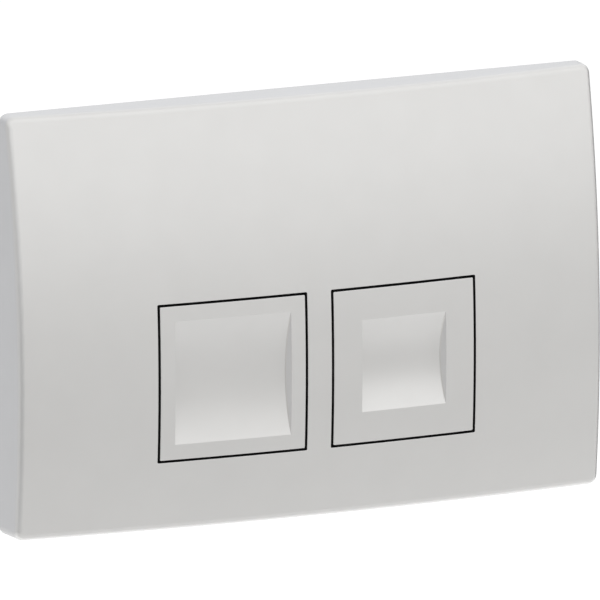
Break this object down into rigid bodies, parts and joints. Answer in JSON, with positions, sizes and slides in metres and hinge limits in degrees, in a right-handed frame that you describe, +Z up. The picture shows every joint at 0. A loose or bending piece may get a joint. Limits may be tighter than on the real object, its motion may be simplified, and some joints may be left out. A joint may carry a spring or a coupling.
{
  "type": "dual-flush button plate",
  "caption": "Domed rectangular wall plate for a concealed cistern, with square dished full-flush and half-flush buttons on hinges, push rods and a bolted mounting frame.",
  "frame": {"origin": "middle of the plate's rear outline, on the wall plane", "axes": "+X to the right, +Y into the wall, +Z up; the front faces -Y"},
  "size_m": [0.246, 0.0719, 0.164],
  "materials": {
    "satin_front": "satin light grey",
    "white_moulding": "moulded, matt",
    "grey_moulding": "moulded, matt",
    "blue_moulding": "moulded, matt",
    "steel": "drawn",
    "spring_steel": "rolled strip",
    "rubber": "matt"
  },
  "bodies": {
    "plate": {"cover_plate": "satin_front", "mounting_frame": "white_moulding", "left_fixing_bolt": "grey_moulding", "right_fixing_bolt": "grey_moulding", "full_hinge_pin": "steel", "full_return_spring": "spring_steel", "full_spring_screw": "steel", "full_stop_pads": "rubber", "full_rod_guide": "grey_moulding", "half_hinge_pin": "steel", "half_return_spring": "spring_steel", "half_spring_screw": "steel", "half_stop_pads": "rubber", "half_rod_guide": "grey_moulding"},
    "full_button": {"full_flush_button": "satin_front"},
    "half_button": {"half_flush_button": "satin_front"},
    "full_rod": {"full_push_rod": "blue_moulding", "full_rod_head": "blue_moulding"},
    "half_rod": {"half_push_rod": "blue_moulding", "half_rod_head": "blue_moulding"}
  },
  "joints": [
    {"name": "full_button_press", "type": "hinge", "parent": "plate", "child": "full_button", "pos_m": [-0.0359, -0.01791, 0.00295], "axis": [1, 0, 0], "range_deg": [0, 8], "stiffness_Nm_per_rad": 1.2, "springref_deg": -5.73, "deforming": ["full_return_spring"]},
    {"name": "full_rod_slide", "type": "slide", "parent": "plate", "child": "full_rod", "axis": [0, 1, 0], "range_m": [0, 0.0057]},
    {"name": "half_button_press", "type": "hinge", "parent": "plate", "child": "half_button", "pos_m": [0.0359, -0.01791, 0.00295], "axis": [1, 0, 0], "range_deg": [0, 8], "stiffness_Nm_per_rad": 1.2, "springref_deg": -5.73, "deforming": ["half_return_spring"]},
    {"name": "half_rod_slide", "type": "slide", "parent": "plate", "child": "half_rod", "axis": [0, 1, 0], "range_m": [0, 0.0057]}
  ],
  "couplings": [
    {"joint": "full_rod_slide", "follows": "full_button_press", "m_per_rad": 0.04},
    {"joint": "half_rod_slide", "follows": "half_button_press", "m_per_rad": 0.04}
  ]
}
